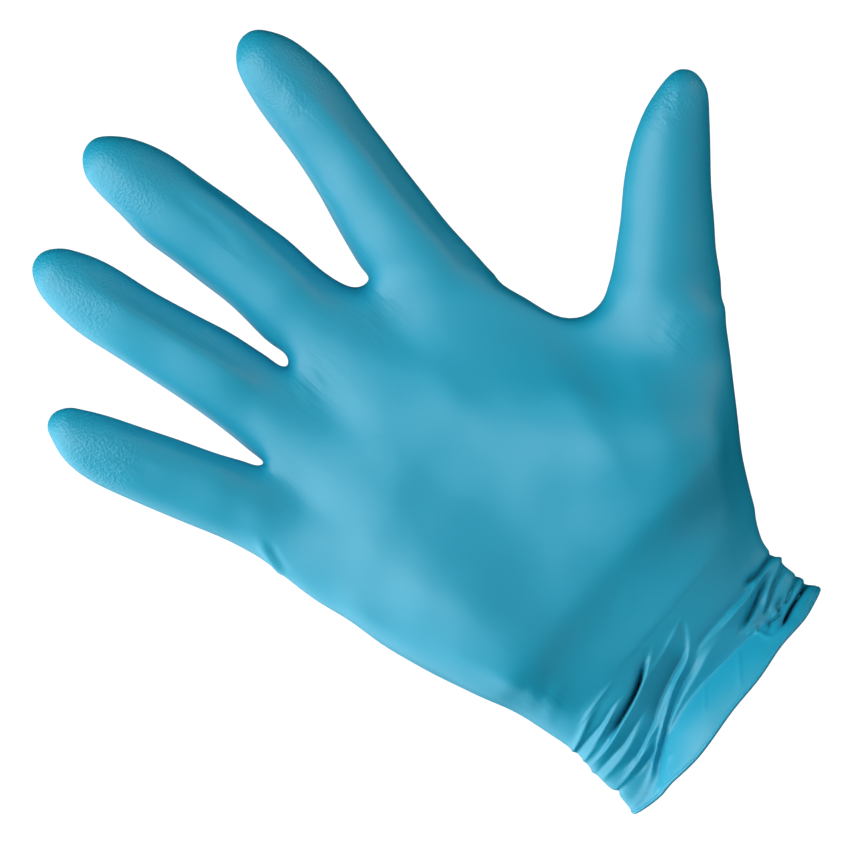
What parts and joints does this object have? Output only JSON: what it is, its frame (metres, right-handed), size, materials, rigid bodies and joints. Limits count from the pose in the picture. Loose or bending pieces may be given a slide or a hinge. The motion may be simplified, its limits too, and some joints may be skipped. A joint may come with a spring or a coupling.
{
  "type": "nitrile exam glove",
  "caption": "Thin-film exam glove in its worn form, with spread fingers, textured fingertips and a bunched cuff with a rolled bead.",
  "frame": {"origin": "middle of the cuff opening, where the wrist enters", "axes": "+Z along the hand from the cuff to the fingertips, +X towards the thumb, palm faces -Y"},
  "size_m": [0.1819, 0.0469, 0.2185],
  "materials": {
    "nitrile_film": "satin"
  },
  "bodies": {
    "root": {"glove": "nitrile_film"}
  },
  "joints": []
}
